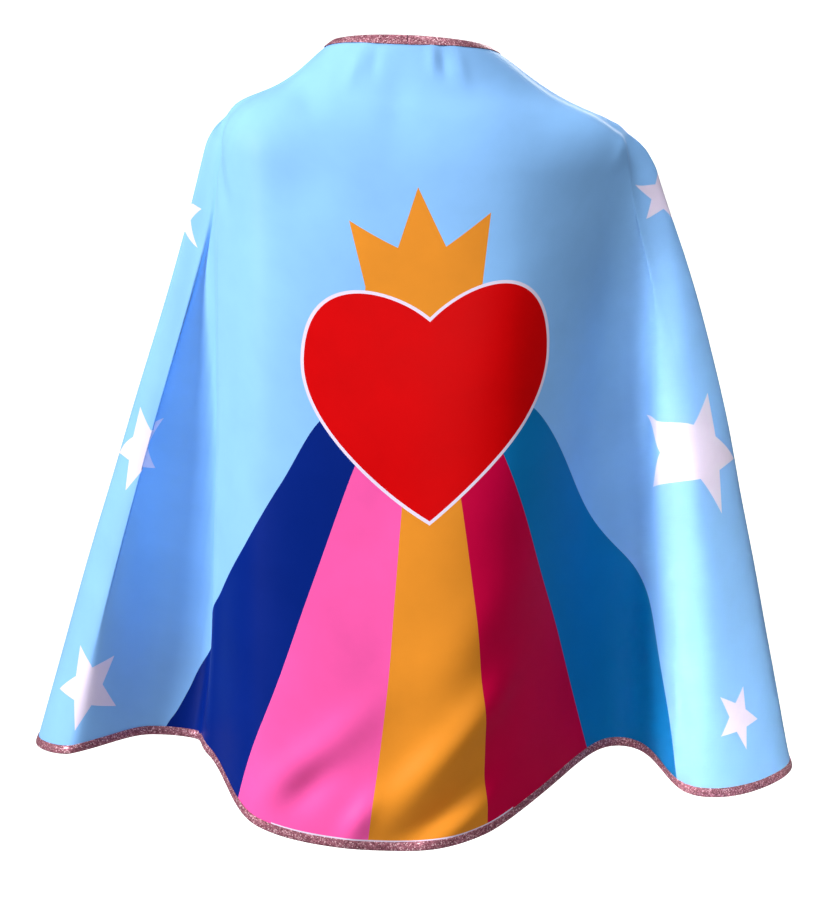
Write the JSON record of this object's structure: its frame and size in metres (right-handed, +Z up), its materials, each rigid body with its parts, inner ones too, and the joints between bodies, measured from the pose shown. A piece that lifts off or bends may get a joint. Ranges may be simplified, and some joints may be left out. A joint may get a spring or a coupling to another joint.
{
  "type": "superhero cape",
  "caption": "Child's dress-up cape: printed satin panel draped from the shoulders, tape-bound edges and a hook-and-loop neck tab.",
  "frame": {"origin": "centre of the neck opening, level with the top edge of the neck binding at the middle of the back", "axes": "+Z up, +Y the way the wearer faces, +X the side away from the overlap tab's root; the printed back faces -Y"},
  "size_m": [0.6896, 0.2583, 0.7137],
  "materials": {
    "printed_satin": "polyester satin, sublimation print",
    "plain_satin": "polyester satin, doubled",
    "glitter_tape": "rose-gold metallic yarn binding tape",
    "hook_tape": "woven nylon hook tape",
    "loop_tape": "brushed nylon loop tape"
  },
  "bodies": {
    "yoke": {"cape_yoke": "printed_satin", "neck_binding_left": "glitter_tape", "neck_binding_right": "glitter_tape", "yoke_edge_binding_left": "glitter_tape", "yoke_edge_binding_right": "glitter_tape", "underlap_tab": "plain_satin", "loop_patch": "loop_tape"},
    "skirt": {"cape_skirt": "printed_satin", "hem_binding": "glitter_tape", "front_edge_binding_left": "glitter_tape", "front_edge_binding_right": "glitter_tape"},
    "closure": {"overlap_tab": "plain_satin", "hook_patch": "hook_tape"}
  },
  "joints": [
    {"name": "skirt_swing", "type": "hinge", "parent": "yoke", "child": "skirt", "pos_m": [0, 0, -0.07], "axis": [-1, 0, 0], "range_deg": [0, 35]},
    {"name": "tab_peel", "type": "hinge", "parent": "yoke", "child": "closure", "pos_m": [-0.031, 0.06175, -0.014], "axis": [0, 0, 1], "range_deg": [0, 120]}
  ]
}
